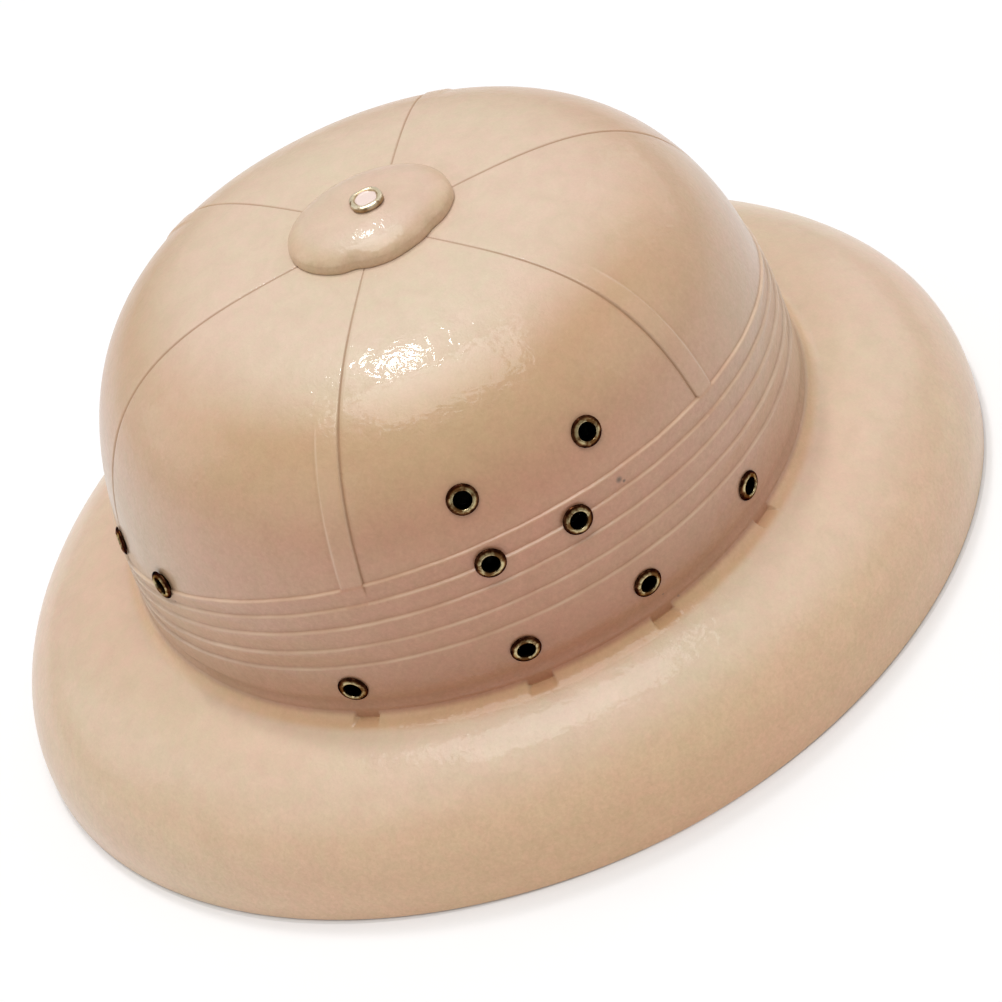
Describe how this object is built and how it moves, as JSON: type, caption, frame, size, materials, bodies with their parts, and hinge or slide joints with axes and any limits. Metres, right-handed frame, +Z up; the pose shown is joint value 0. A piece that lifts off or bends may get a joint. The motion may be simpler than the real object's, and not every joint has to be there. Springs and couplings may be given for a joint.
{
  "type": "moulded sun helmet",
  "caption": "Moulded plastic sun helmet with a deep oval crown, a folded band, a wide down-curved brim, a riveted top cap and brass ventilation eyelets.",
  "frame": {"origin": "middle of the brim edge's oval, on the level that the edge rests on", "axes": "+Z up through the crown, front of the hat towards -Y, the wearer's left towards +X"},
  "size_m": [0.2812, 0.338, 0.1537],
  "materials": {
    "moulded_plastic": "satin tan, with a fine leather-like grain",
    "aged_brass": "darkened, worn bright on the rolled edges",
    "bright_brass": "bright, slightly worn"
  },
  "bodies": {
    "root": {"shell": "moulded_plastic", "crown_cap": "moulded_plastic", "cap_rivet": "bright_brass", "eyelet_front_centre": "aged_brass", "eyelet_left_upper_front": "aged_brass", "eyelet_left_upper_back": "aged_brass", "eyelet_left_middle_front": "aged_brass", "eyelet_left_middle_back": "aged_brass", "eyelet_left_lower_front_corner": "aged_brass", "eyelet_left_lower_front": "aged_brass", "eyelet_left_lower_back": "aged_brass", "eyelet_left_lower_back_corner": "aged_brass", "eyelet_left_near_front": "aged_brass", "eyelet_right_upper_front": "aged_brass", "eyelet_right_upper_back": "aged_brass", "eyelet_right_middle_front": "aged_brass", "eyelet_right_middle_back": "aged_brass", "eyelet_right_lower_front_corner": "aged_brass", "eyelet_right_lower_front": "aged_brass", "eyelet_right_lower_back": "aged_brass", "eyelet_right_lower_back_corner": "aged_brass"}
  },
  "joints": []
}
